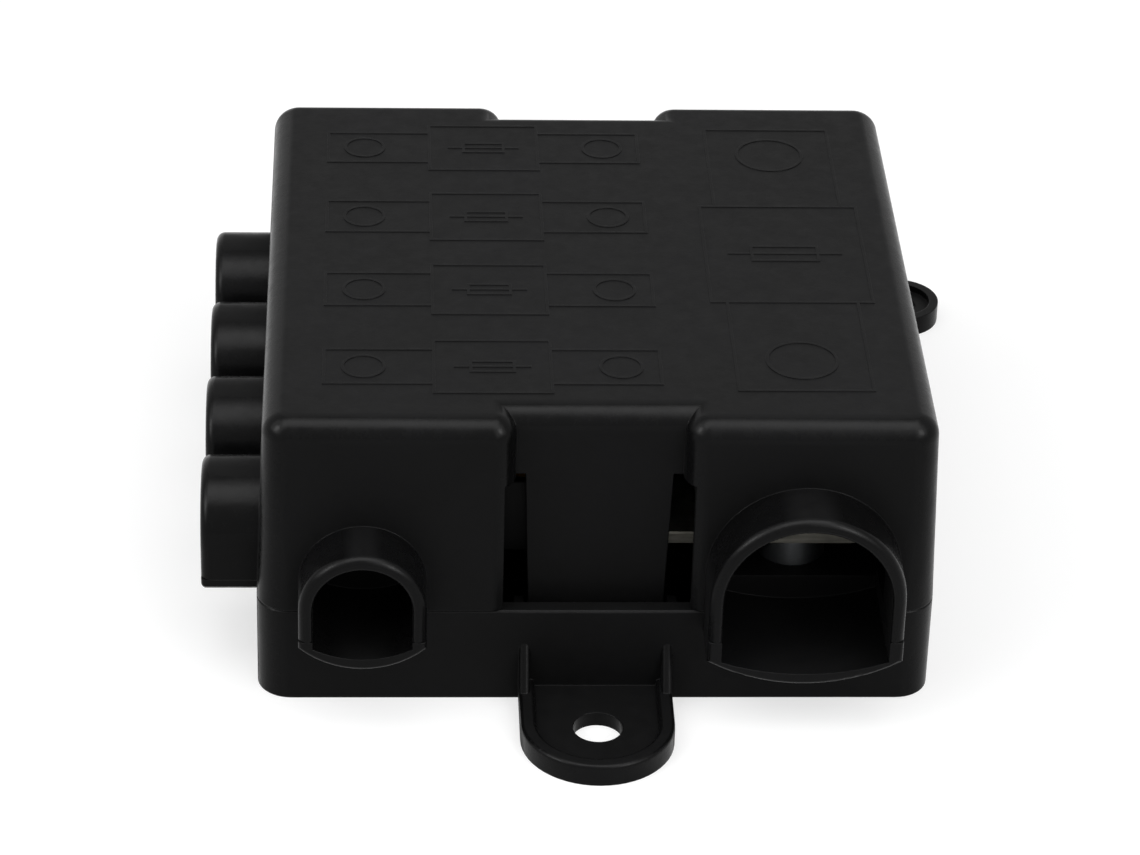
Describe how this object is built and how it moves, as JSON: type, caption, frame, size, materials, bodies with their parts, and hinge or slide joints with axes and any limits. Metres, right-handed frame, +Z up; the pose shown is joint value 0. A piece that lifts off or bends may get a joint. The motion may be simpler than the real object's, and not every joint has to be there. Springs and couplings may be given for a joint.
{
  "type": "fuse box",
  "caption": "Low black moulded box for bolt-in fuses, with arched cable ports, a lift-off cover with front and rear latch tongues, and screw lugs.",
  "frame": {"origin": "middle of the housing's flat underside", "axes": "+Z up through the cover, -Y towards the two front cable ports, -X towards the row of side ports"},
  "size_m": [0.0968, 0.1126, 0.0373],
  "materials": {
    "black_moulded_plastic": "fine satin texture, as moulded",
    "zinc_plated_steel": "bright zinc plate",
    "tinned_copper": "tin plate over copper",
    "small_fuse_plastic": "moulded, half gloss, with an amber label plate",
    "large_fuse_plastic": "moulded, half gloss, with a blue label plate"
  },
  "bodies": {
    "housing": {"base": "black_moulded_plastic", "busbar": "tinned_copper", "main_front_nut": "zinc_plated_steel", "main_front_spring_washer": "zinc_plated_steel", "main_front_stud": "zinc_plated_steel", "main_front_washer": "zinc_plated_steel", "main_fuse_body": "large_fuse_plastic", "main_fuse_link": "tinned_copper", "main_rear_nut": "zinc_plated_steel", "main_rear_spring_washer": "zinc_plated_steel", "main_rear_stud": "zinc_plated_steel", "main_rear_washer": "zinc_plated_steel", "row1_bus_nut": "zinc_plated_steel", "row1_bus_spring_washer": "zinc_plated_steel", "row1_bus_stud": "zinc_plated_steel", "row1_bus_washer": "zinc_plated_steel", "row1_cable_nut": "zinc_plated_steel", "row1_cable_spring_washer": "zinc_plated_steel", "row1_cable_stud": "zinc_plated_steel", "row1_cable_washer": "zinc_plated_steel", "row1_fuse_body": "small_fuse_plastic", "row1_fuse_link": "tinned_copper", "row2_bus_nut": "zinc_plated_steel", "row2_bus_spring_washer": "zinc_plated_steel", "row2_bus_stud": "zinc_plated_steel", "row2_bus_washer": "zinc_plated_steel", "row2_cable_nut": "zinc_plated_steel", "row2_cable_spring_washer": "zinc_plated_steel", "row2_cable_stud": "zinc_plated_steel", "row2_cable_washer": "zinc_plated_steel", "row2_fuse_body": "small_fuse_plastic", "row2_fuse_link": "tinned_copper", "row3_bus_nut": "zinc_plated_steel", "row3_bus_spring_washer": "zinc_plated_steel", "row3_bus_stud": "zinc_plated_steel", "row3_bus_washer": "zinc_plated_steel", "row3_cable_nut": "zinc_plated_steel", "row3_cable_spring_washer": "zinc_plated_steel", "row3_cable_stud": "zinc_plated_steel", "row3_cable_washer": "zinc_plated_steel", "row3_fuse_body": "small_fuse_plastic", "row3_fuse_link": "tinned_copper", "row4_bus_nut": "zinc_plated_steel", "row4_bus_spring_washer": "zinc_plated_steel", "row4_bus_stud": "zinc_plated_steel", "row4_bus_washer": "zinc_plated_steel", "row4_cable_nut": "zinc_plated_steel", "row4_cable_spring_washer": "zinc_plated_steel", "row4_cable_stud": "zinc_plated_steel", "row4_cable_washer": "zinc_plated_steel", "row4_fuse_body": "small_fuse_plastic", "row4_fuse_link": "tinned_copper"},
    "cover": {"cover": "black_moulded_plastic"}
  },
  "joints": [
    {"name": "cover_lift", "type": "slide", "parent": "housing", "child": "cover", "axis": [0, 0, 1], "range_m": [0, 0.04]}
  ]
}
